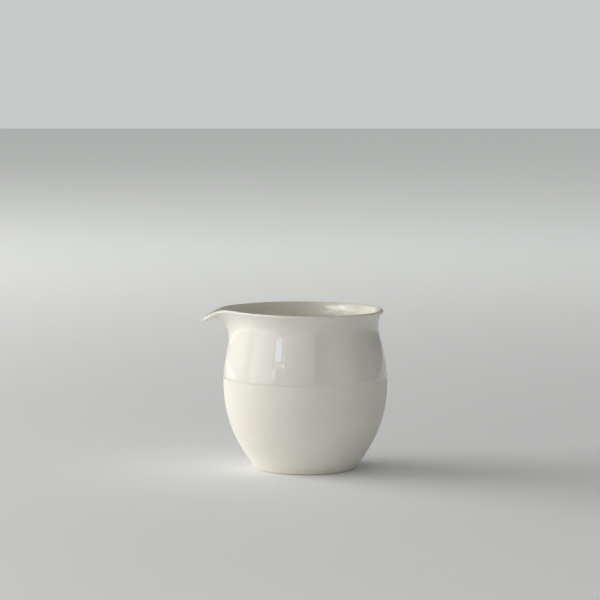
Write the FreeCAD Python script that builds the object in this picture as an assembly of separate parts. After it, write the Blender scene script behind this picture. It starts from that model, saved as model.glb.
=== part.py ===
import FreeCAD, Part
import math
import os

# Handleless ceramic pitcher: a full-bellied thrown body on a small foot, a short neck, a thin flared
# lip and a pulled beak that pours toward -X.  The clay is left bare and matt on the lower half; a
# clear glaze covers the upper half outside and the whole of the inside.
#
# Millimetres, +Z up.  The origin is the centre of the standing face, on the table.

Vec = FreeCAD.Vector

# ---- overall sizes -------------------------------------------------------------------------------
HEIGHT = 80.0            # standing face to the middle of the rim, glaze included
BELLY_D = 81.9           # widest diameter of the bare clay
FOOT_D = 48.8            # where the wall would meet the table
NECK_D = 72.7            # waist under the lip
LIP_D = 77.1             # outer edge of the lip, where its half round starts
LIP_LEAN = 40.0          # degrees from upright at the lip
RIM_RISE = 0.4           # the rim climbs this much toward the beak and falls as much behind

# ---- heights -------------------------------------------------------------------------------------
BELLY_Z = 44.5           # widest place above the table
GLAZE_Z = 46.2           # where the dipped glaze stops outside
WAIST_DOWN = 6.4         # neck's waist below the lip's outer edge
BEND_Z = 15.2            # the inside starts to turn in to the floor here

# ---- beak ----------------------------------------------------------------------------------------
SPOUT_REACH = 11.2       # how far the tip stands out past the plain lip
SPOUT_DROP = 5.8         # how far the tip hangs below the plain lip
SPOUT_DEPTH = 16.8       # how far below the lip the neck starts to lean out under it
SPOUT_SPREAD = 9.4       # degrees round the rim at which the beak is half out
SPOUT_EDGE = 42.0        # degrees round the rim at which the beak has died away
NOTCH_R = 24.5           # round-bottomed opening in the rim that the beak's clay fills
NOTCH_DOWN = 18.0        # bottom of that opening below the lip

# ---- clay and glaze thickness --------------------------------------------------------------------
LIP_WALL = 1.2           # at the lip
TIP_WALL = 1.8           # at the beak's tip
NECK_WALL = 1.8          # under the neck, where the beak starts
LOW_WALL = 2.9           # just above the foot
FLOOR_WALL = 3.0         # floor of the pitcher
GLAZE = 0.2              # fired glaze coat

# ---- foot ring -----------------------------------------------------------------------------------
RING_H = 2.2             # depth of the trimmed recess, and the joint between ring and floor
RING_W = 3.65            # ring's width, bore to the wall's line at the table
RING_TAPER = 0.25        # the bore opens this much upward
RING_EDGE = 0.7          # wiped round on the standing edges

# ---- what follows from them ----------------------------------------------------------------------
LIP_Z = HEIGHT - GLAZE - LIP_WALL / 2 * (1 + math.sin(math.radians(LIP_LEAN)))
NECK_Z = LIP_Z - WAIST_DOWN
SPOUT_Z = LIP_Z - SPOUT_DEPTH

# how the wall swells from foot to belly, and draws in from belly to neck: height share, swell share
SWELL = ((0.135, 0.284), (0.292, 0.552), (0.472, 0.776), (0.674, 0.922), (0.854, 0.9885))
DRAW_IN = ((0.27, 0.862), (0.556, 0.535), (0.77, 0.217))
# centre line of the beak: way up the neck, share of the reach, share of the drop
KEEL = ((0.2, 0.05, -0.155), (0.4, 0.225, -0.275), (0.6, 0.475, -0.27), (0.8, 0.80, 0.165), (1.0, 1.0, 1.0))


def mix(a, b, share):
    return a + (b - a) * share


def ease(x):
    x = min(1.0, max(0.0, x))
    return x * x * (3 - 2 * x)


# ---- the wall's outer shape ----------------------------------------------------------------------
def body_curve():
    """Radius against height, with the height itself as the curve's parameter."""
    spots = [(0.0, FOOT_D / 2)]
    for share, swell in SWELL:
        spots.append((share * BELLY_Z, mix(FOOT_D, BELLY_D, swell) / 2))
    spots.append((BELLY_Z, BELLY_D / 2))
    for share, swell in DRAW_IN:
        spots.append((mix(BELLY_Z, NECK_Z, share), mix(NECK_D, BELLY_D, swell) / 2))
    spots.append((NECK_Z, NECK_D / 2))
    spots.append((LIP_Z, LIP_D / 2))
    curve = Part.BSplineCurve()
    curve.interpolate(
        Points=[Vec(r, 0, z) for z, r in spots],
        Parameters=[z for z, r in spots],
        InitialTangent=Vec(0.80, 0, 1),
        FinalTangent=Vec(math.tan(math.radians(LIP_LEAN)), 0, 1),
        Scale=False,
    )
    return curve


def keel_curve():
    """How far the beak's centre line stands off the plain neck: outward, and up."""
    spots = [(0.0, 0.0, 0.0)] + [(t, SPOUT_REACH * out, -SPOUT_DROP * down) for t, out, down in KEEL]
    curve = Part.BSplineCurve()
    curve.interpolate(
        Points=[Vec(out, up, 0) for t, out, up in spots],
        Parameters=[t for t, out, up in spots],
    )
    return curve


BODY = body_curve()
STAND_OFF = keel_curve()


def beak_share(psi):
    """1 on the beak's centre line, dying away round the rim; psi in degrees from -X."""
    psi = abs((psi + 180.0) % 360.0 - 180.0)
    peak = 1.0 / (1.0 + (psi / SPOUT_SPREAD) ** 2)
    return peak * (1.0 - ease((psi - 0.38 * SPOUT_EDGE) / (0.62 * SPOUT_EDGE)))


def outside(psi, z):
    """A point on the clay's outer surface; z is its height on the plain side of the body."""
    r = BODY.value(z).x
    up = 0.0
    if z > SPOUT_Z:
        t = (z - SPOUT_Z) / (LIP_Z - SPOUT_Z)
        share = beak_share(psi)
        off = STAND_OFF.value(min(t, 1.0))
        r += share * off.x
        up += share * share * off.y
        up += RIM_RISE * t * t * math.cos(math.radians(psi))
    a = math.radians(psi)
    return Vec(-r * math.cos(a), -r * math.sin(a), z + up)


def frame_at(psi, z):
    """The surface point with its outward normal and the direction up the wall."""
    h = 0.02
    z = min(z, LIP_Z)
    here = outside(psi, z)
    around = outside(psi + h, z) - outside(psi - h, z)
    upward = here - outside(psi, z - h) if z > LIP_Z - h else outside(psi, z + h) - outside(psi, z - h)
    normal = around.cross(upward).normalize()
    rise = normal.cross(around).normalize()
    if rise.z < 0 and normal.z > -0.5:
        rise = rise * -1
    return here, normal, rise


def wall_at(psi, z):
    """Thickness of the clay, thin at the lip and thicker toward the foot."""
    lip = mix(LIP_WALL, TIP_WALL, beak_share(psi))
    if z > SPOUT_Z:
        return mix(NECK_WALL, lip, ease((z - SPOUT_Z) / (LIP_Z - SPOUT_Z)))
    return mix(NECK_WALL, LOW_WALL, ease((SPOUT_Z - z) / (SPOUT_Z - RING_H)))


# ---- the sheet: up the outside, over the lip, down the inside -------------------------------------
def steps(a, b, count):
    return [mix(a, b, i / count) for i in range(count)]


ROWS_UP = steps(RING_H, GLAZE_Z, 9) + steps(GLAZE_Z, SPOUT_Z, 3) + steps(SPOUT_Z, LIP_Z, 14) + [LIP_Z]
ROWS_DOWN = steps(LIP_Z, SPOUT_Z, 14) + steps(SPOUT_Z, BEND_Z, 9) + [BEND_Z]
LIP_ANGLES = [22.5 * i for i in range(1, 8)]
GLAZE_ROW = 9
LIP_ROW = len(ROWS_UP) - 1
CREST_ROW = LIP_ROW + 4
BEND_STEPS = 6
BEND_ROW = len(ROWS_UP) + len(LIP_ANGLES) + len(ROWS_DOWN) - 1
# the sheets are faced in patches: body, neck, each half of the lip, neck and body inside, bend
PATCH_ROWS = (GLAZE_ROW, GLAZE_ROW + 3, LIP_ROW, CREST_ROW, LIP_ROW + 8, LIP_ROW + 22, BEND_ROW)
PATCH_TURNS = (-180.0, -SPOUT_EDGE, SPOUT_EDGE, 180.0)

# closer together round the beak, with the closing seam at the back
COLUMNS = steps(-180, -SPOUT_EDGE, 18) + steps(-SPOUT_EDGE, SPOUT_EDGE, 30) + steps(SPOUT_EDGE, 180, 18)


def inside_bend(psi, coat):
    """The rounded corner from the wall to the floor, as points down to the floor."""
    def inner(z):
        here, normal, rise = frame_at(psi, z)
        p = here - normal * (wall_at(psi, z) + coat)
        return math.hypot(p.x, p.y), p.z
    r1, z1 = inner(BEND_Z)
    r0, z0 = inner(BEND_Z + 0.2)
    floor = RING_H + FLOOR_WALL + coat
    reach = (z1 - floor) / (z0 - z1)
    corner = r1 - (r0 - r1) * reach
    flat = corner - math.hypot(r1 - corner, z1 - floor)
    a = math.radians(psi)
    points = []
    for i in range(1, BEND_STEPS + 1):
        t = i / BEND_STEPS
        r = (1 - t) ** 2 * r1 + 2 * t * (1 - t) * corner + t * t * flat
        z = (1 - t) ** 2 * z1 + (1 - (1 - t) ** 2) * floor
        points.append(Vec(-r * math.cos(a), -r * math.sin(a), z))
    return points


def section(psi, coat):
    """One upright line of points round the whole wall, standing off the clay by the coat."""
    points = []
    for z in ROWS_UP:
        here, normal, rise = frame_at(psi, z)
        points.append(here + normal * coat)
    here, normal, rise = frame_at(psi, LIP_Z)
    half = wall_at(psi, LIP_Z) / 2
    middle = here - normal * half
    for angle in LIP_ANGLES:
        a = math.radians(angle)
        points.append(middle + (normal * math.cos(a) + rise * math.sin(a)) * (half + coat))
    for z in ROWS_DOWN:
        here, normal, rise = frame_at(psi, z)
        points.append(here - normal * (wall_at(psi, z) + coat))
    return points + inside_bend(psi, coat)


def row_parameters():
    """Distance up, over and down the wall on its plain side, shared by every sheet."""
    points = section(180.0, 0.0)
    along = [0.0]
    for a, b in zip(points, points[1:]):
        along.append(along[-1] + a.distanceToPoint(b))
    return along


ALONG = row_parameters()


def sheet(coat):
    """A smooth closed surface through the sections, all the way round."""
    sections = [section(psi, coat) for psi in COLUMNS]
    turn = COLUMNS + [180.0]
    rows = []
    for i in range(len(ALONG)):
        ring = Part.BSplineCurve()
        ring.interpolate(Points=[line[i] for line in sections], PeriodicFlag=True, Parameters=turn)
        rows.append(ring)
    columns = []
    for j in range(rows[0].NbPoles):
        up = Part.BSplineCurve()
        up.interpolate(Points=[ring.getPole(j + 1) for ring in rows], Parameters=ALONG)
        columns.append(up)
    surface = Part.BSplineSurface()
    surface.buildFromPolesMultsKnots(
        [up.getPoles() for up in columns],
        rows[0].getMultiplicities(),
        columns[0].getMultiplicities(),
        rows[0].getKnots(),
        columns[0].getKnots(),
        True,
        False,
        3,
        3,
    )
    return surface


def band(surface, first, last):
    """The faces of a sheet between two of its rows, in patches that meet on the same lines."""
    rows = [first] + [row for row in PATCH_ROWS if first < row < last] + [last]
    faces = []
    for low, high in zip(rows, rows[1:]):
        for start, end in zip(PATCH_TURNS, PATCH_TURNS[1:]):
            faces.append(surface.toShape(start, end, ALONG[low], ALONG[high]))
    return faces


def ring_edges(surface, row):
    """The edges a sheet has along one of its rows."""
    line = surface.vIso(ALONG[row])
    return [line.toShape(start, end) for start, end in zip(PATCH_TURNS, PATCH_TURNS[1:])]


def disc(surface, row):
    return [Part.Face(Part.Wire(ring_edges(surface, row)))]


def strip(under, over, row):
    """The narrow band that joins two sheets where a coat stops."""
    pairs = zip(ring_edges(under, row), ring_edges(over, row))
    return [Part.makeRuledSurface(low, high) for low, high in pairs]


def closed(faces):
    shell = Part.makeShell(faces)
    shell.sewShape()
    solid = Part.makeSolid(shell)
    if solid.Volume < 0:
        solid.reverse()
    return solid


# ---- the pieces ----------------------------------------------------------------------------------
def clay_wall(clay):
    """Wall and floor before the opening for the beak is cut."""
    last = len(ALONG) - 1
    return closed(band(clay, 0, last) + disc(clay, 0) + disc(clay, last))


def beak_cutter():
    """A round-bottomed opening in the rim, as a potter cuts it before luting a beak on."""
    middle = Vec(0, 0, LIP_Z - NOTCH_DOWN + NOTCH_R)
    return Part.makeCylinder(NOTCH_R, LIP_D / 2 + SPOUT_REACH + 20, middle, Vec(-1, 0, 0))


def foot_ring():
    """Trimmed ring under the floor: sloped outside, wiped edges, open recess."""
    top = BODY.value(RING_H).x
    edge = BODY.value(0.0).x
    slope = math.atan2(top - edge, RING_H)
    mouth = edge - RING_W
    e = RING_EDGE
    # the wiped edge touches the sloped outside at one end and the table at the other
    flat = edge - e * (1 - math.sin(slope)) / math.cos(slope)
    half_turn = (math.pi / 2 - slope) / 2
    start = Vec(flat + e * math.cos(slope), 0, e - e * math.sin(slope))
    middle = Vec(flat + e * math.sin(half_turn), 0, e - e * math.cos(half_turn))
    path = [
        Part.LineSegment(Vec(top, 0, RING_H), start).toShape(),
        Part.Arc(start, middle, Vec(flat, 0, 0)).toShape(),
        Part.LineSegment(Vec(flat, 0, 0), Vec(mouth + e, 0, 0)).toShape(),
        Part.Arc(
            Vec(mouth + e, 0, 0),
            Vec(mouth + e - e * math.sin(math.pi / 4), 0, e - e * math.cos(math.pi / 4)),
            Vec(mouth, 0, e),
        ).toShape(),
        Part.LineSegment(Vec(mouth, 0, e), Vec(mouth - RING_TAPER, 0, RING_H)).toShape(),
        Part.LineSegment(Vec(mouth - RING_TAPER, 0, RING_H), Vec(top, 0, RING_H)).toShape(),
    ]
    ring = Part.Face(Part.Wire(path)).revolve(Vec(0, 0, 0), Vec(0, 0, 1), 360)
    if ring.Volume < 0:
        ring.reverse()
    return ring


def lining_glaze(clay, coat):
    """The coat inside, from the crest of the rim down over the floor."""
    last = len(ALONG) - 1
    faces = band(clay, CREST_ROW, last) + band(coat, CREST_ROW, last)
    faces += disc(clay, last) + disc(coat, last) + strip(clay, coat, CREST_ROW)
    return closed(faces)


def outer_glaze(clay, coat):
    """The coat outside, from the dip line up to the crest of the rim."""
    faces = band(clay, GLAZE_ROW, CREST_ROW) + band(coat, GLAZE_ROW, CREST_ROW)
    faces += strip(clay, coat, GLAZE_ROW) + strip(clay, coat, CREST_ROW)
    return closed(faces)


def main():
    clay = sheet(0.0)
    coat = sheet(GLAZE)
    whole = clay_wall(clay)
    cutter = beak_cutter()
    pieces = {
        "barrel": whole.cut(cutter).Solids[0],
        "pouring_spout": whole.common(cutter).Solids[0],
        "foot_ring": foot_ring(),
        "lining_glaze": lining_glaze(clay, coat),
        "outer_glaze": outer_glaze(clay, coat),
    }
    os.makedirs("parts", exist_ok=True)
    for name, shape in pieces.items():
        shape.exportStep("parts/" + name + ".step")


main()
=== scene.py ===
import math

import bmesh
import bpy
import numpy as np
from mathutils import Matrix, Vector


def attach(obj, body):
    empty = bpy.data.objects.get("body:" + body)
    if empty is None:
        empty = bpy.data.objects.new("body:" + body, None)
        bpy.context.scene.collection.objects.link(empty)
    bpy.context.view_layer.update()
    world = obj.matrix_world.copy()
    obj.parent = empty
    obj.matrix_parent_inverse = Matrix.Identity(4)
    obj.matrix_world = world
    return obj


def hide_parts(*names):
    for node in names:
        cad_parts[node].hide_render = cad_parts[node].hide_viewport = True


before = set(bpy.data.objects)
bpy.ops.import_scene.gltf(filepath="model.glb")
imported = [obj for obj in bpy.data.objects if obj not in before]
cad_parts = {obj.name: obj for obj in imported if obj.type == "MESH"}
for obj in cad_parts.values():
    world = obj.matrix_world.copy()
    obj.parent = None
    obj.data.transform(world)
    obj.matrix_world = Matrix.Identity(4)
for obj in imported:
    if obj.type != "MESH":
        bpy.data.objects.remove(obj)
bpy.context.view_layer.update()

# A small porcelain pitcher with no handle.  The bare wall is thrown up from its floor ring by ring and
# the beak is pulled out of the rim; the glaze is a thin skin over the rim, down the inside and down to
# the dip line outside; the foot is a trimmed ring.
#
# The pot's sizes are millimetres.  Finishes, floor, lamps and camera are in metres, like the scene.
# The pot's numbers are a copy of the part's own and not read from the frame: a size that
# is changed in the part has to be changed here as well.

MM = 0.001
SIDES = 128

# outer wall: height and radius from the foot to the lip, with the lean at both ends
WALL_LINE = (
    (0.0, 24.40), (6.0, 29.10), (13.0, 33.54), (21.0, 37.24), (30.0, 39.66), (38.0, 40.76),
    (44.5, 40.95), (52.0, 40.31), (60.0, 38.81), (66.0, 37.35), (72.4, 36.35), (78.8, 38.55),
)
WALL_LEAN = (0.80, 0.839)
# centre line of the beak: way up the neck, how far it stands off the wall, how far it drops
BEAK_OUT = ((0.0, 0.0), (0.2, 0.56), (0.4, 2.52), (0.6, 5.32), (0.8, 8.96), (1.0, 11.2))
BEAK_DROP = ((0.0, 0.0), (0.2, -0.90), (0.4, -1.60), (0.6, -1.57), (0.8, 0.96), (1.0, 5.8))
# degrees round the rim at which the beak's pull is half gone, and at which it has died away
BEAK_SPREAD = 9.4
BEAK_EDGE = 42.0
# the pull is cut short only past this share of the way to its edge
BEAK_FULL = 0.38
# how much the rim climbs toward the beak, and how much farther out its last row is pulled there
RIM_RISE = 0.4
TIP_EXTRA = 0.75

# heights: the floor's underside and top, the inside's bend, the dip line, the neck's foot, the lip
FLOOR_UNDER = 2.2
FLOOR_TOP = 5.2
BEND_TOP = 15.2
GLAZE_LINE = 46.2
NECK_FOOT = 62.0
LIP_END = 78.8
# what is lower than this belongs to the floor's underside
UNDERSIDE = FLOOR_UNDER + 0.1
# metres: heights in the scene that differ by less than this are the same
SAME = 1e-7
# the skin is thinner than the glaze, so that it stands clear of the clay
GLAZE = 0.2
GLAZE_SKIN = 0.16
# clay at the lip, at the beak's tip, under the neck and just above the foot
LIP_CLAY, TIP_CLAY, NECK_CLAY, LOW_CLAY = 1.2, 1.8, 1.8, 2.9


# ---- lines and sizes -------------------------------------------------------------------------------
def smooth_line(stations, leans=None):
    """A smooth line through the stations, straight on past its last one."""
    x = np.array([s[0] for s in stations], float)
    y = np.array([s[1] for s in stations], float)
    h = np.diff(x)
    rise = np.diff(y) / h
    count = len(x)
    rows = np.zeros((count, count))
    right = np.zeros(count)
    for i in range(1, count - 1):
        rows[i, i - 1] = 1 / h[i - 1]
        rows[i, i] = 2 / h[i - 1] + 2 / h[i]
        rows[i, i + 1] = 1 / h[i]
        right[i] = 3 * (rise[i - 1] / h[i - 1] + rise[i] / h[i])
    if leans:
        rows[0, 0] = rows[-1, -1] = 1
        right[0], right[-1] = leans
    else:
        rows[0, 0] = rows[-1, -1] = 2
        rows[0, 1] = rows[-1, -2] = 1
        right[0], right[-1] = 3 * rise[0], 3 * rise[-1]
    lean = np.linalg.solve(rows, right)

    def at(place):
        if place >= x[-1]:
            return float(y[-1] + lean[-1] * (place - x[-1]))
        i = int(np.clip(np.searchsorted(x, place) - 1, 0, count - 2))
        t = (place - x[i]) / h[i]
        a = (1 + 2 * t) * (1 - t) ** 2 * y[i] + t * t * (3 - 2 * t) * y[i + 1]
        return float(a + h[i] * (t * (1 - t) ** 2 * lean[i] - t * t * (1 - t) * lean[i + 1]))
    return at


wall_radius = smooth_line(WALL_LINE, WALL_LEAN)
beak_out = smooth_line(BEAK_OUT)
beak_drop = smooth_line(BEAK_DROP)


def ease(t):
    t = min(1.0, max(0.0, t))
    return t * t * (3 - 2 * t)


def beak_share(turn):
    """How much of the beak's pull reaches a place; turn is in degrees from the beak."""
    peak = 1 / (1 + (turn / BEAK_SPREAD) ** 2)
    return peak * (1 - ease((turn - BEAK_FULL * BEAK_EDGE) / ((1 - BEAK_FULL) * BEAK_EDGE)))


def turn_from_beak(place):
    return abs(math.degrees(math.atan2(place.y, -place.x)))


def wall_thickness(turn, height):
    lip = LIP_CLAY + (TIP_CLAY - LIP_CLAY) * beak_share(turn)
    if height > NECK_FOOT:
        return NECK_CLAY + (lip - NECK_CLAY) * ease((height - NECK_FOOT) / (LIP_END - NECK_FOOT))
    return NECK_CLAY + (LOW_CLAY - NECK_CLAY) * ease((NECK_FOOT - height) / (NECK_FOOT - FLOOR_UNDER))


# ---- working at the bench --------------------------------------------------------------------------
def edit():
    bpy.ops.object.mode_set(mode="EDIT")


def leave():
    bpy.ops.object.mode_set(mode="OBJECT")


def pick(piece, test, kind="VERT"):
    """Selects what passes the test on the piece being edited, and nothing else."""
    bpy.ops.mesh.select_mode(type=kind)
    bpy.ops.mesh.select_all(action="DESELECT")
    work = bmesh.from_edit_mesh(piece.data)
    work.normal_update()
    for part in {"VERT": work.verts, "EDGE": work.edges, "FACE": work.faces}[kind]:
        if test(part):
            part.select_set(True)
    work.select_flush_mode()
    bmesh.update_edit_mesh(piece.data)


def pick_numbers(piece, numbers):
    """Selects the places with these numbers on the piece being edited, and nothing else."""
    bpy.ops.mesh.select_all(action="DESELECT")
    work = bmesh.from_edit_mesh(piece.data)
    work.verts.ensure_lookup_table()
    for number in numbers:
        work.verts[number].select_set(True)
    bmesh.update_edit_mesh(piece.data)


def first_ring(name, radius, height):
    bpy.ops.object.select_all(action="DESELECT")
    bpy.ops.mesh.primitive_circle_add(vertices=SIDES, radius=radius * MM, location=(0, 0, 0))
    piece = bpy.context.active_object
    piece.name = piece.data.name = name
    edit()
    bpy.ops.mesh.select_all(action="SELECT")
    bpy.ops.transform.translate(value=(0, 0, height * MM))
    return piece


def next_ring(radius, height, last):
    """Pulls the selected ring on to a new radius and height."""
    old_radius, old_height = last
    bpy.ops.mesh.extrude_region_move(
        TRANSFORM_OT_translate={"value": (0, 0, (height - old_height) * MM)}
    )
    size = radius / old_radius
    bpy.ops.transform.resize(value=(size, size, 1), center_override=(0, 0, height * MM))
    return radius, height


def face_outward(piece):
    """Makes the faces agree, and point away from the upright middle line on the widest ring."""
    bpy.ops.mesh.select_all(action="SELECT")
    bpy.ops.mesh.normals_make_consistent(inside=False)
    work = bmesh.from_edit_mesh(piece.data)
    widest = max(work.faces, key=lambda f: f.calc_center_median().xy.length)
    if widest.normal.xy.dot(widest.calc_center_median().xy) < 0:
        bpy.ops.mesh.flip_normals()


def add_modifier(piece, kind, **settings):
    modifier = piece.modifiers.new(kind.lower(), kind)
    for key, value in settings.items():
        setattr(modifier, key, value)
    bpy.context.view_layer.objects.active = piece
    bpy.ops.object.modifier_apply(modifier=modifier.name)


def copy_of(piece, name):
    bpy.ops.object.select_all(action="DESELECT")
    piece.select_set(True)
    bpy.context.view_layer.objects.active = piece
    bpy.ops.object.duplicate()
    twin = bpy.context.active_object
    twin.name = twin.data.name = name
    return twin


# ---- the wall --------------------------------------------------------------------------------------
NECK_STEPS = 14
RIM_OVER = 0.45
NECK_ROWS = [NECK_FOOT + (LIP_END - NECK_FOOT) * i / NECK_STEPS for i in range(1, NECK_STEPS + 1)]
NECK_ROWS += [LIP_END + RIM_OVER]
BODY_ROWS = [2.5, 4.0, 6.5, 9.5, 13.0, 17.0, 21.0, 25.0, 29.0, 33.0, 37.0, 41.0, 44.2, GLAZE_LINE]
BODY_ROWS += [48.4, 51.5, 55.0, 58.5, NECK_FOOT]
FLOOR_RINGS = (25.7, 23.5, 19.0, 14.0, 8.0, 3.0)
# where the rings below the bend go inside: along the bend, then over the flat floor to its middle
BEND_STEPS = (0.12, 0.26, 0.40, 0.54, 0.66, 0.77, 0.88, 1.0)
INNER_FLOOR = (11.5, 9.0, 5.5, 2.5, 0.0)
# inside, the rings lower than this are moved on to the bend and the floor
BENT_BELOW = BEND_TOP - 1
# short ways up the wall, over which its lean is taken
LEAN_STEP = 0.05
BEND_STEP = 0.2
BACK = 180
THICKEST = 3.0
LIP_WIPE = 0.5
# degrees: edges flatter than this are shaded smooth
SMOOTH_BELOW = 40
# section of the foot ring, from its joint with the wall, round the standing face, to the recess
FOOT_LINE = (
    (25.55, 1.5), (24.95, 0.72), (24.62, 0.34), (24.40, 0.12), (24.05, 0.01), (23.2, 0.0), (22.3, 0.0),
    (21.45, 0.01), (21.05, 0.12), (20.82, 0.4), (20.76, 0.8), (20.6, 1.5), (20.5, FLOOR_UNDER),
    (23.3, FLOOR_UNDER),
)


def throw_wall():
    """The outside of the wall, ring by ring, and the underside of the floor."""
    start = (wall_radius(FLOOR_UNDER), FLOOR_UNDER)
    wall = first_ring("bare_wall", *start)
    last = start
    for height in BODY_ROWS + NECK_ROWS:
        last = next_ring(wall_radius(height), height, last)
    pick(wall, lambda v: abs(v.co.z - FLOOR_UNDER * MM) < SAME)
    last = start
    for radius in FLOOR_RINGS:
        last = next_ring(radius, FLOOR_UNDER, last)
    bpy.ops.mesh.merge(type="CENTER")
    face_outward(wall)
    return wall


def pull_beak(wall):
    """Draws the rim out and down toward -X, a pair of places at a time, then tips the rim a little."""
    work = bmesh.from_edit_mesh(wall.data)
    rows = {}
    for v in work.verts:
        for height in NECK_ROWS:
            if abs(v.co.z - height * MM) < SAME:
                rows.setdefault(height, []).append((turn_from_beak(v.co), v.index))
    bpy.ops.mesh.select_mode(type="VERT")
    for height, ring in rows.items():
        way = (height - NECK_FOOT) / (LIP_END - NECK_FOOT)
        pairs = {}
        for turn, index in ring:
            pairs.setdefault(round(turn, 2), []).append(index)
        for turn, pair in pairs.items():
            if turn > BEAK_EDGE:
                continue
            share = beak_share(turn)
            pick_numbers(wall, pair)
            out = beak_out(way) + (TIP_EXTRA if height == NECK_ROWS[-1] else 0)
            size = 1 + share * out / wall_radius(height)
            bpy.ops.transform.resize(value=(size, size, 1), center_override=(0, 0, height * MM))
            bpy.ops.transform.translate(value=(0, 0, -share * share * beak_drop(way) * MM))
        pick_numbers(wall, [index for turn, index in ring])
        tip = RIM_RISE * way * way / wall_radius(height)
        bpy.ops.transform.rotate(value=-tip, orient_axis="Y", center_override=(0, 0, height * MM))


def inner_point(height):
    """Radius and height inside the wall, on its plain side."""
    rise = wall_radius(height + LEAN_STEP) - wall_radius(height - LEAN_STEP)
    lean = rise / (2 * LEAN_STEP)
    thick = wall_thickness(BACK, height)
    long = math.hypot(1, lean)
    return wall_radius(height) - thick / long, height + thick * lean / long


def bend_point(t):
    """The inside's rounded turn from wall to floor, from 0 at its top to 1 where the floor is flat."""
    r1, z1 = inner_point(BEND_TOP)
    r0, z0 = inner_point(BEND_TOP + BEND_STEP)
    corner = r1 - (r0 - r1) * (z1 - FLOOR_TOP) / (z0 - z1)
    flat = corner - math.hypot(r1 - corner, z1 - FLOOR_TOP)
    radius = (1 - t) ** 2 * r1 + 2 * t * (1 - t) * corner + t * t * flat
    return radius, (1 - t) ** 2 * z1 + (1 - (1 - t) ** 2) * FLOOR_TOP


def ring_of(v):
    return round(math.hypot(v.co.x, v.co.y) / MM, 2), round(v.co.z / MM, 2)


def thicken(wall):
    """Gives the wall its clay, thin at the lip and thick at the foot, and rounds the inside corner."""
    leave()
    group = wall.vertex_groups.new(name="clay")
    under = [v.index for v in wall.data.vertices if v.co.z < UNDERSIDE * MM]
    for v in wall.data.vertices:
        thick = THICKEST if v.index in under else wall_thickness(turn_from_beak(v.co), v.co.z / MM)
        group.add([v.index], thick / THICKEST, "REPLACE")
    count = len(wall.data.vertices)
    rings = {}
    for v in wall.data.vertices:
        if v.co.z < BENT_BELOW * MM:
            rings.setdefault(ring_of(v), []).append(v.index + count)
    add_modifier(
        wall, "SOLIDIFY", thickness=THICKEST * MM, offset=-1, vertex_group="clay", use_rim=True
    )
    wall.vertex_groups.clear()
    order = sorted((key for key in rings if key[1] > UNDERSIDE), key=lambda key: -key[1])
    order += sorted((key for key in rings if key[1] <= UNDERSIDE), key=lambda key: -key[0])
    places = [bend_point(t) for t in BEND_STEPS]
    places += [(radius, FLOOR_TOP) for radius in INNER_FLOOR]
    edit()
    for key, (radius, height) in zip(order, places):
        work = bmesh.from_edit_mesh(wall.data)
        work.verts.ensure_lookup_table()
        old = work.verts[rings[key][0]].co
        old_radius, old_height = math.hypot(old.x, old.y), old.z
        pick_numbers(wall, rings[key])
        if radius:
            size = radius * MM / old_radius
            bpy.ops.transform.resize(value=(size, size, 1), center_override=(0, 0, old_height))
        bpy.ops.transform.translate(value=(0, 0, height * MM - old_height))
    return count


def round_lip(wall, count):
    """Wipes both edges of the lip round."""
    def is_rim(face):
        outer = sum(v.index < count for v in face.verts)
        return len(face.verts) == 4 and outer == 2
    pick(wall, lambda e: sorted(is_rim(f) for f in e.link_faces) == [False, True], "EDGE")
    bpy.ops.mesh.bevel(offset=LIP_WIPE * MM, segments=2, profile=0.5, clamp_overlap=True)
    bpy.ops.mesh.select_all(action="DESELECT")


def crease(piece, test):
    pick(piece, test, "EDGE")
    bpy.ops.transform.edge_crease(value=1.0)


def finish_surface(piece, levels=1):
    leave()
    if levels:
        add_modifier(piece, "SUBSURF", levels=levels, render_levels=levels)
    bpy.ops.object.select_all(action="DESELECT")
    piece.select_set(True)
    bpy.context.view_layer.objects.active = piece
    bpy.ops.object.shade_smooth_by_angle(angle=math.radians(SMOOTH_BELOW))


# ---- the glaze -------------------------------------------------------------------------------------
# the glaze thins out over its last millimetre: how far each step goes in, and how far down
GLAZE_TAPER = ((0.04, 0.40), (0.07, 0.32), (0.09, 0.20))
TAPER_ABOVE = 0.55
# the dip line's waver: how high, how many waves round the pot, where each starts
EDGE_WAVES = ((0.16, 1, 0.7), (0.10, 3, 2.1), (0.07, 7, 0.0), (0.05, 13, 1.3), (0.03, 23, 0.4))
# a face nearer than this to the wall's outer line is on the outside
OUTSIDE_WITHIN = 1.0


def edge_waver(turn):
    """The dip line isn't quite level: slow swings and a few short ones."""
    a = math.radians(turn)
    return sum(high * math.sin(waves * a + start) for high, waves, start in EDGE_WAVES)


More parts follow.
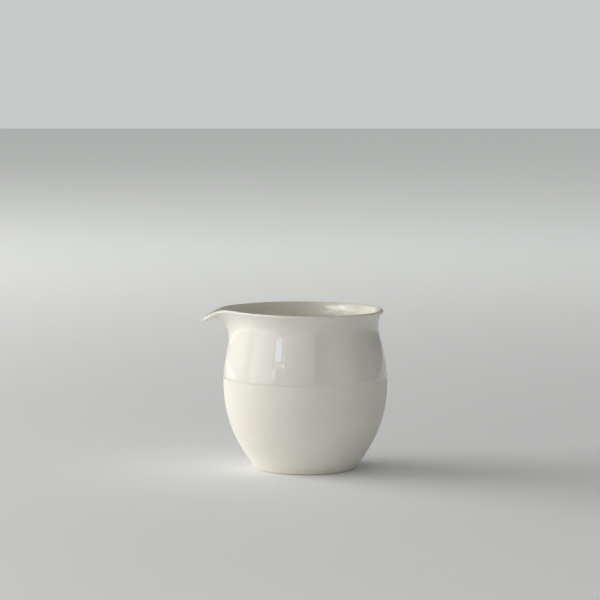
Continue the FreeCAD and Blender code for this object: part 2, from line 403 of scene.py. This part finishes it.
def lay_glaze(cage):
    """A skin over the rim and the whole inside, and outside down to the dip line."""
    def left_bare(face):
        place = face.calc_center_median() / MM
        radius = math.hypot(place.x, place.y)
        if place.z < UNDERSIDE:
            return True
        return place.z < GLAZE_LINE and radius > wall_radius(place.z) - OUTSIDE_WITHIN
    glaze = copy_of(cage, "glaze_coat")
    edit()
    pick(glaze, left_bare, "FACE")
    bpy.ops.mesh.delete(type="FACE")
    bpy.ops.mesh.select_all(action="SELECT")
    bpy.ops.transform.shrink_fatten(value=GLAZE * MM)
    work = bmesh.from_edit_mesh(glaze.data)
    # 1 where the skin faces the upright middle line, 0 where it faces away from it
    inside = work.verts.layers.float.new("inside")
    for v in work.verts:
        across = Vector((v.co.x, v.co.y, 0))
        v[inside] = ease(0.5 - v.normal.dot(across.normalized())) if across.length > MM else 1.0
        if v.is_boundary:
            turn = math.degrees(math.atan2(v.co.y, v.co.x))
            v.co.z += (TAPER_ABOVE + edge_waver(turn)) * MM
    bmesh.update_edit_mesh(glaze.data)
    leave()
    add_modifier(glaze, "SUBSURF", levels=1, render_levels=1)
    edit()
    pick(glaze, lambda v: v.is_boundary)
    radius = wall_radius(GLAZE_LINE) + GLAZE
    for inward, down in GLAZE_TAPER:
        bpy.ops.mesh.extrude_region_move(TRANSFORM_OT_translate={"value": (0, 0, -down * MM)})
        size = (radius - inward) / radius
        bpy.ops.transform.resize(value=(size, size, 1), center_override=(0, 0, GLAZE_LINE * MM))
        radius -= inward
    leave()
    add_modifier(glaze, "SOLIDIFY", thickness=GLAZE_SKIN * MM, offset=-1, use_rim=True)
    finish_surface(glaze, 0)
    return glaze


# ---- the foot --------------------------------------------------------------------------------------
def turn_foot():
    """The trimmed ring: sloped outside, both standing edges wiped round, a shallow open recess."""
    start = (wall_radius(FLOOR_UNDER), FLOOR_UNDER)
    foot = first_ring("trimmed_foot", *start)
    last = start
    for radius, height in FOOT_LINE:
        last = next_ring(radius, height, last)
    next_ring(*start, last)
    bpy.ops.mesh.select_all(action="SELECT")
    bpy.ops.mesh.remove_doubles(threshold=0.01 * MM)
    face_outward(foot)
    crease(foot, lambda e: all(abs(v.co.z - FLOOR_UNDER * MM) < SAME for v in e.verts))
    finish_surface(foot)
    return foot


# ---- finishes --------------------------------------------------------------------------------------
# each surface has two tones, mottled into each other, and what tints it in places; the dark bands at the
# dip line are partly painted shade, and the dark bands low on the outside, where the pot stands, are
# painted shade
CLAY_TONES = ((0.790, 0.768, 0.706, 1), (0.765, 0.740, 0.672, 1))
CLAY_TINT_AND_SHADE_AT_GLAZE = (0.56, 0.50, 0.41, 1)
CLAY_SHADE_AT_FOOT = (0.60, 0.54, 0.45, 1)
CLAY_PIT = (0.40, 0.34, 0.27, 1)
GLAZE_TONES = ((0.766, 0.746, 0.680, 1), (0.748, 0.725, 0.654, 1))
GLAZE_INSIDE = (0.790, 0.752, 0.645, 1)
GLAZE_IN_WELL = (0.70, 0.69, 0.59, 1)
GLAZE_EDGE_TINT_AND_SHADE = (0.52, 0.46, 0.37, 1)
GLAZE_PIT = (0.42, 0.37, 0.30, 1)
FOOT_TONES = ((0.772, 0.748, 0.684, 1), (0.742, 0.714, 0.646, 1))
FOOT_SOLE_SHADE = (0.50, 0.44, 0.35, 1)
FLOOR_TONES = ((0.895, 0.905, 0.905, 1), (0.93, 0.94, 0.94, 1))
FLOOR_GLOW = (0.262, 0.270, 0.267, 1)
ROOM_LIGHT = (0.170, 0.171, 0.164, 1)
ROOM_SEEN = (0.57, 0.59, 0.585, 1)
BLACK = (0, 0, 0, 1)


def put(tree, kind, settings=None, **inputs):
    """A node with its settings; an input is a value or another node's output."""
    made = tree.nodes.new(kind)
    for key, value in (settings or {}).items():
        setattr(made, key, value)
    for key, value in inputs.items():
        numbered = key[0] == "i" and key[1:].isdigit()
        socket = made.inputs[int(key[1:]) if numbered else key.replace("_", " ")]
        if isinstance(value, bpy.types.NodeSocket):
            tree.links.new(value, socket)
        else:
            socket.default_value = value
    return made


def calc(tree, operation, a, b=0.0):
    return put(tree, "ShaderNodeMath", {"operation": operation}, i0=a, i1=b).outputs[0]


def spread(tree, value, low, high, to_low=0.0, to_high=1.0):
    made = put(
        tree, "ShaderNodeMapRange", {"interpolation_type": "SMOOTHSTEP"}, Value=value,
        From_Min=low, From_Max=high, To_Min=to_low, To_Max=to_high,
    )
    return made.outputs["Result"]


def blend(tree, share, a, b):
    made = put(tree, "ShaderNodeMix", {"data_type": "RGBA"}, i0=share, i6=a, i7=b)
    return made.outputs[2]


def new_group(name, inputs, outputs):
    group = bpy.data.node_groups.new(name, "ShaderNodeTree")
    for label, value in inputs:
        socket = group.interface.new_socket(label, in_out="INPUT", socket_type="NodeSocketFloat")
        socket.default_value = value
    for label in outputs:
        group.interface.new_socket(label, in_out="OUTPUT", socket_type="NodeSocketFloat")
    source = group.nodes.new("NodeGroupInput")
    sink = group.nodes.new("NodeGroupOutput")
    place = put(group, "ShaderNodeTexCoord").outputs["Object"]
    return group, source.outputs, sink.inputs, place


def clay_grain():
    """Fine tooth of fired clay, and the slow mottling under it."""
    group, given, out, place = new_group(
        "clay_grain", (("Grain Scale", 1700.0), ("Mottle Scale", 60.0)), ("Height", "Mottle")
    )
    fine = put(
        group, "ShaderNodeTexNoise", Vector=place, Scale=given["Grain Scale"], Detail=3.0, Roughness=0.6
    )
    slow = put(
        group, "ShaderNodeTexNoise", Vector=place, Scale=given["Mottle Scale"], Detail=4.0, Roughness=0.55
    )
    group.links.new(fine.outputs["Fac"], out["Height"])
    group.links.new(spread(group, slow.outputs["Fac"], 0.35, 0.65), out["Mottle"])
    return group


def throwing_rings():
    """Faint level ridges left by the fingers and the turning tool."""
    group, given, out, place = new_group(
        "throwing_rings", (("Rings Per Metre", 420.0), ("Sway", 0.0006)), ("Height",)
    )
    height = put(group, "ShaderNodeSeparateXYZ", Vector=place).outputs["Z"]
    sway = put(group, "ShaderNodeTexNoise", Vector=place, Scale=14.0, Detail=1.0).outputs["Fac"]
    height = calc(group, "ADD", height, calc(group, "MULTIPLY", sway, given["Sway"]))
    rings = put(
        group, "ShaderNodeTexNoise", {"noise_dimensions": "1D"},
        W=calc(group, "MULTIPLY", height, given["Rings Per Metre"]), Scale=1.0, Detail=2.0,
    )
    group.links.new(rings.outputs["Fac"], out["Height"])
    return group


def pinholes():
    """Sparse tiny pits or specks, only in some cells."""
    group, given, out, place = new_group(
        "pinholes", (("Cells Per Metre", 160.0), ("Size", 0.05), ("Share", 0.2)), ("Mask",)
    )
    cells = put(group, "ShaderNodeTexVoronoi", Vector=place, Scale=given["Cells Per Metre"])
    near = spread(group, cells.outputs["Distance"], given["Size"], 0.0)
    chance = put(group, "ShaderNodeSeparateColor", Color=cells.outputs["Color"]).outputs[0]
    some = calc(group, "LESS_THAN", chance, given["Share"])
    group.links.new(calc(group, "MULTIPLY", near, some), out["Mask"])
    return group


def level_band():
    """A level band round the pot, wavering a little: 1 at its middle, 0 past its width."""
    group, given, out, place = new_group(
        "level_band", (("Middle", 0.0), ("Width", 0.001), ("Waver", 0.0003)), ("Mask",)
    )
    height = put(group, "ShaderNodeSeparateXYZ", Vector=place).outputs["Z"]
    noise = put(group, "ShaderNodeTexNoise", Vector=place, Scale=90.0, Detail=3.0).outputs["Fac"]
    waver = calc(group, "MULTIPLY", calc(group, "SUBTRACT", noise, 0.5), given["Waver"])
    off = calc(group, "SUBTRACT", calc(group, "ADD", height, waver), given["Middle"])
    away = calc(group, "ABSOLUTE", off)
    group.links.new(spread(group, away, 0.0, given["Width"], 1.0, 0.0), out["Mask"])
    return group


GRAIN, RINGS, PITS, BAND = clay_grain(), throwing_rings(), pinholes(), level_band()


def use(tree, group, **inputs):
    return put(tree, "ShaderNodeGroup", {"node_tree": group}, **inputs).outputs


def new_finish(name):
    finish = bpy.data.materials.new(name)
    finish.use_nodes = True
    tree = finish.node_tree
    return finish, tree, tree.nodes["Principled BSDF"]


def set_on(shader, **values):
    for key, value in values.items():
        shader.inputs[key.replace("_", " ")].default_value = value


def bump(tree, strength, distance, height, before=None):
    made = put(tree, "ShaderNodeBump", Strength=strength, Distance=distance, Height=height)
    if before:
        tree.links.new(before, made.inputs["Normal"])
    return made.outputs["Normal"]


def bare_porcelain():
    """Unglazed fired porcelain: warm ivory, satin, with a fine tooth and faint throwing rings."""
    finish, tree, shader = new_finish("bare_porcelain")
    grain = use(tree, GRAIN, Grain_Scale=1500.0, Mottle_Scale=55.0)
    rings = use(tree, RINGS, Rings_Per_Metre=330.0, Sway=0.0012)
    pits = use(tree, PITS, Cells_Per_Metre=150.0, Size=0.045, Share=0.16)["Mask"]
    # the dip-line band: the clay's real warm tint there, deepened as painted shade under the glaze's edge
    dip_tint_and_shade = use(tree, BAND, Middle=(GLAZE_LINE - 0.2) * MM, Width=0.0011, Waver=0.0005)["Mask"]
    # painted shade: the bare wall darkens and warms over its lowest millimetres, next to the floor it
    # stands on
    low = use(tree, BAND, Middle=0.0, Width=0.0065, Waver=0.003)["Mask"]
    colour = blend(tree, grain["Mottle"], *CLAY_TONES)
    colour = blend(tree, calc(tree, "MULTIPLY", dip_tint_and_shade, 0.05), colour, CLAY_TINT_AND_SHADE_AT_GLAZE)
    colour = blend(tree, calc(tree, "MULTIPLY", low, 0.12), colour, CLAY_SHADE_AT_FOOT)
    colour = blend(tree, calc(tree, "MULTIPLY", pits, 0.35), colour, CLAY_PIT)
    rough = spread(tree, grain["Mottle"], 0.0, 1.0, 0.40, 0.50)
    normal = bump(tree, 0.16, 0.00025, rings["Height"])
    normal = bump(tree, 0.22, 0.00006, grain["Height"], normal)
    normal = bump(tree, -0.5, 0.00010, pits, normal)
    tree.links.new(colour, shader.inputs["Base Color"])
    tree.links.new(rough, shader.inputs["Roughness"])
    tree.links.new(normal, shader.inputs["Normal"])
    set_on(shader, Subsurface_Weight=0.12, Subsurface_Radius=(0.0022, 0.0016, 0.0010))
    set_on(shader, Subsurface_Scale=1.0, Specular_IOR_Level=0.42, Sheen_Weight=0.04)
    return finish


def clear_glaze():
    """Clear glaze over the same clay: wet gloss, creamier inside, a touch darker at its edge: a real warm
    tint there, deepened as painted shade under the edge.
    """
    finish, tree, shader = new_finish("clear_glaze")
    grain = use(tree, GRAIN, Grain_Scale=130.0, Mottle_Scale=40.0)
    rings = use(tree, RINGS, Rings_Per_Metre=190.0, Sway=0.002)
    pits = use(tree, PITS, Cells_Per_Metre=120.0, Size=0.035, Share=0.14)["Mask"]
    # the band at the glaze's edge: a real warm tint, deepened as painted shade under the edge
    dip_tint_and_shade = use(tree, BAND, Middle=(GLAZE_LINE - 0.1) * MM, Width=0.0009, Waver=0.0004)["Mask"]
    well = use(tree, BAND, Middle=FLOOR_TOP * MM, Width=0.0075, Waver=0.002)["Mask"]
    colour = blend(tree, grain["Mottle"], *GLAZE_TONES)
    inside = put(tree, "ShaderNodeAttribute", {"attribute_name": "inside"}).outputs["Fac"]
    colour = blend(tree, calc(tree, "MULTIPLY", inside, 0.85), colour, GLAZE_INSIDE)
    colour = blend(tree, calc(tree, "MULTIPLY", well, 0.35), colour, GLAZE_IN_WELL)
    colour = blend(tree, calc(tree, "MULTIPLY", dip_tint_and_shade, 0.05), colour, GLAZE_EDGE_TINT_AND_SHADE)
    colour = blend(tree, calc(tree, "MULTIPLY", pits, 0.30), colour, GLAZE_PIT)
    rough = spread(tree, grain["Mottle"], 0.0, 1.0, 0.28, 0.34)
    normal = bump(tree, 0.20, 0.00020, rings["Height"])
    normal = bump(tree, 0.10, 0.00018, grain["Height"], normal)
    normal = bump(tree, -0.4, 0.00008, pits, normal)
    tree.links.new(colour, shader.inputs["Base Color"])
    tree.links.new(rough, shader.inputs["Roughness"])
    tree.links.new(normal, shader.inputs["Normal"])
    set_on(shader, Coat_Weight=1.0, Coat_Roughness=0.02, Coat_IOR=1.52, Specular_IOR_Level=0.3)
    return finish


def wiped_foot():
    """The same clay where it was trimmed and wiped: rougher, and darker and browner along its standing
    edge, which is painted shade where the foot meets the floor.
    """
    finish, tree, shader = new_finish("wiped_foot")
    grain = use(tree, GRAIN, Grain_Scale=1100.0, Mottle_Scale=110.0)
    rings = use(tree, RINGS, Rings_Per_Metre=900.0, Sway=0.0008)
    # painted shade: the foot darkens and browns within a millimetre of the floor it stands on
    sole = use(tree, BAND, Middle=0.0, Width=0.0011, Waver=0.0006)["Mask"]
    colour = blend(tree, grain["Mottle"], *FOOT_TONES)
    colour = blend(tree, calc(tree, "MULTIPLY", sole, 0.45), colour, FOOT_SOLE_SHADE)
    normal = bump(tree, 0.35, 0.00010, grain["Height"])
    normal = bump(tree, 0.20, 0.00020, rings["Height"], normal)
    tree.links.new(colour, shader.inputs["Base Color"])
    tree.links.new(spread(tree, grain["Mottle"], 0.0, 1.0, 0.58, 0.72), shader.inputs["Roughness"])
    tree.links.new(normal, shader.inputs["Normal"])
    return finish


def give(piece, finish):
    piece.data.materials.clear()
    piece.data.materials.append(finish)
    for face in piece.data.polygons:
        face.material_index = 0


# ---- room, light and camera ------------------------------------------------------------------------
# the floor lies a hair under the pot; its faint glow starts at one distance and is full at the other
FLOOR_SIZE = 12.0
FLOOR_GAP = 0.00002
GLOW_FROM, GLOW_FULL = 0.12, 1.6
LAMPS_AIM_AT = (0, 0, 0.045)
CAMERA_PLACE = (-0.0027, -1.3, 0.2062)
CAMERA_TILT = 84.64
CAMERA_LENS = 157.3
CAMERA_SENSOR = 36.0
CAMERA_NEAR, CAMERA_FAR = 0.05, 30.0


def lay_floor():
    bpy.ops.object.select_all(action="DESELECT")
    bpy.ops.mesh.primitive_plane_add(size=FLOOR_SIZE, location=(0, 0, -FLOOR_GAP))
    floor = bpy.context.active_object
    floor.name = floor.data.name = "floor"
    finish, tree, shader = new_finish("pale_floor")
    place = put(tree, "ShaderNodeTexCoord").outputs["Object"]
    cloud = put(tree, "ShaderNodeTexNoise", Vector=place, Scale=5.0, Detail=3.0).outputs["Fac"]
    tree.links.new(blend(tree, cloud, *FLOOR_TONES), shader.inputs["Base Color"])
    far = put(tree, "ShaderNodeVectorMath", {"operation": "LENGTH"}, i0=place).outputs["Value"]
    glow = blend(tree, spread(tree, far, GLOW_FROM, GLOW_FULL), BLACK, FLOOR_GLOW)
    tree.links.new(glow, shader.inputs["Emission Color"])
    set_on(shader, Roughness=0.75, Specular_IOR_Level=0.2, Emission_Strength=1.0)
    give(floor, finish)
    bpy.ops.object.transform_apply(location=True)


CLEAN, PINKISH, CREAM = (1.0, 0.992, 0.972), (1.0, 0.95, 0.92), (1.0, 0.95, 0.84)
# name, turn, lift, distance, width and height, brightness, colour
# what lights the pot: the window at its left and the room in front
LIGHTING = (
    ("side_window", -103, 15, 2.4, (2.40, 1.30), 5.7, CLEAN),
    ("room_fill", -30, 9, 1.6, (1.90, 0.80), 1.62, (1.0, 0.985, 0.925)),
    ("overhead", -90, 78, 1.6, (2.2, 2.2), 0.38, (0.97, 0.985, 1.0)),
    ("bounce", 80, 7, 1.6, (1.60, 0.60), 0.46, CREAM),
)
# what the glaze mirrors: a curtained window with one clear pane, and the room beside it
MIRRORED = (
    ("curtain_left", -66, 14, 1.5, (0.90, 0.98), 1.10, (1.0, 0.97, 0.94)),
    ("pane", -40.5, 23, 1.48, (0.25, 0.42), 3.9, (0.62, 0.81, 1.0)),
    ("bar", -37, 13, 1.47, (0.36, 0.035), 3.0, CLEAN),
    ("low_pane", -45, 7, 1.48, (0.15, 0.17), 2.2, CLEAN),
    ("fold_one", -31, 18, 1.48, (0.05, 0.60), 2.2, PINKISH),
    ("fold_two", -25.5, 16, 1.48, (0.03, 0.70), 1.8, PINKISH),
    ("curtain_right", -6, 12, 1.5, (0.95, 0.92), 0.62, CLEAN),
    ("wall_right", 52, 8, 1.5, (1.20, 0.80), 0.42, (1.0, 0.96, 0.92)),
    ("frame_edge", 29, 3, 1.49, (0.06, 0.50), 0.9, CLEAN),
    ("upper_pane", -62, 44, 1.5, (0.72, 0.58), 4.4, (0.90, 0.96, 1.0)),
    ("upper_side", -86, 38, 1.5, (0.45, 0.70), 2.0, CLEAN),
    ("bright_left", -125, 16, 1.5, (1.50, 1.20), 0.60, CLEAN),
)


def soft_light(name, turn, lift, far, size, glow, colour, reflected=True, lights=True):
    """A soft rectangle facing the pot; turn is degrees from the camera's side, lift above the table."""
    a, e = math.radians(turn), math.radians(lift)
    way = Vector((math.sin(a) * math.cos(e), -math.cos(a) * math.cos(e), math.sin(e)))
    aim = Vector(LAMPS_AIM_AT)
    bpy.ops.object.light_add(type="AREA", location=aim + way * far)
    lamp = bpy.context.active_object
    lamp.name = lamp.data.name = name
    lamp.data.shape = "RECTANGLE"
    lamp.data.size, lamp.data.size_y = size
    lamp.data.energy = glow * math.pi * size[0] * size[1]
    lamp.data.color = colour
    lamp.rotation_euler = (-way).to_track_quat("-Z", "Y").to_euler()
    lamp.visible_camera = False
    lamp.visible_glossy = reflected
    lamp.visible_diffuse = lights


def light_room():
    world = bpy.data.worlds.new("studio")
    bpy.context.scene.world = world
    world.use_nodes = True
    tree = world.node_tree
    tree.nodes.clear()
    seen = put(tree, "ShaderNodeLightPath").outputs["Is Camera Ray"]
    colour = blend(tree, seen, ROOM_LIGHT, ROOM_SEEN)
    sky = put(tree, "ShaderNodeBackground", Color=colour, Strength=1.0)
    sink = tree.nodes.new("ShaderNodeOutputWorld")
    tree.links.new(sky.outputs[0], sink.inputs["Surface"])
    for row in LIGHTING:
        soft_light(*row, reflected=False)
    for row in MIRRORED:
        soft_light(*row, lights=False)


def set_camera():
    bpy.ops.object.camera_add(location=CAMERA_PLACE, rotation=(math.radians(CAMERA_TILT), 0, 0))
    camera = bpy.context.active_object
    camera.name = "camera"
    camera.data.sensor_width = CAMERA_SENSOR
    camera.data.lens = CAMERA_LENS
    camera.data.clip_start, camera.data.clip_end = CAMERA_NEAR, CAMERA_FAR
    bpy.context.scene.camera = camera
    bpy.context.scene.view_settings.view_transform = "Standard"


# ---- putting it together ---------------------------------------------------------------------------
wall = throw_wall()
pull_beak(wall)
outer_count = thicken(wall)
round_lip(wall, outer_count)
crease(
    wall,
    lambda e: all(ring_of(v) == (round(wall_radius(FLOOR_UNDER), 2), FLOOR_UNDER) for v in e.verts),
)
leave()
glaze = lay_glaze(wall)
finish_surface(wall)
foot = turn_foot()

porcelain, glass_coat, sole = bare_porcelain(), clear_glaze(), wiped_foot()
for piece, finish, slot, nodes in (
    (wall, porcelain, "clay_body", ("barrel", "pouring_spout")),
    (glaze, glass_coat, "glaze_outside", ("outer_glaze", "lining_glaze")),
    (foot, sole, "clay_foot", ("foot_ring",)),
):
    give(piece, finish)
    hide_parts(*nodes)
    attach(piece, "root")

lay_floor()
light_room()
set_camera()
